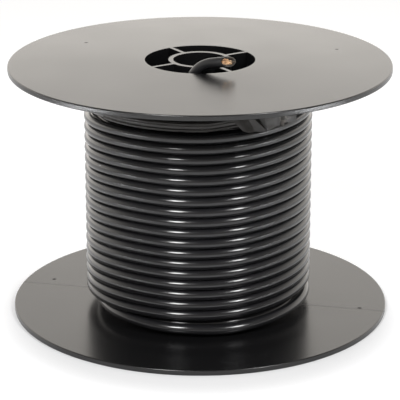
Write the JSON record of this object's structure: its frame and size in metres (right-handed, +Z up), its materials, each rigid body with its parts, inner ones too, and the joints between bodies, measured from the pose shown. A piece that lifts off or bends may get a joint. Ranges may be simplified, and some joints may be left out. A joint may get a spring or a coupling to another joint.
{
  "type": "plastic cable reel",
  "caption": "One-piece plastic reel with flat round flanges and a ribbed hub bore, wound with single-core stranded copper cable whose inner end stands out of the hub.",
  "frame": {"origin": "on the floor, at the middle of the lower flange", "axes": "+Z up along the reel's axis; +X, +Y, -X and -Y each point through the middle of a chamber of the hub, and the cable end is in the chamber at -Y"},
  "size_m": [0.2, 0.2, 0.1443],
  "materials": {
    "reel_plastic": "satin",
    "cable_sheath": "gloss",
    "copper": "bright",
    "tape_film": "gloss"
  },
  "bodies": {
    "root": {"reel": "reel_plastic", "cable_winding": "cable_sheath", "cable_tail": "cable_sheath", "copper_conductor": "copper", "tape_scrap": "tape_film"}
  },
  "joints": []
}
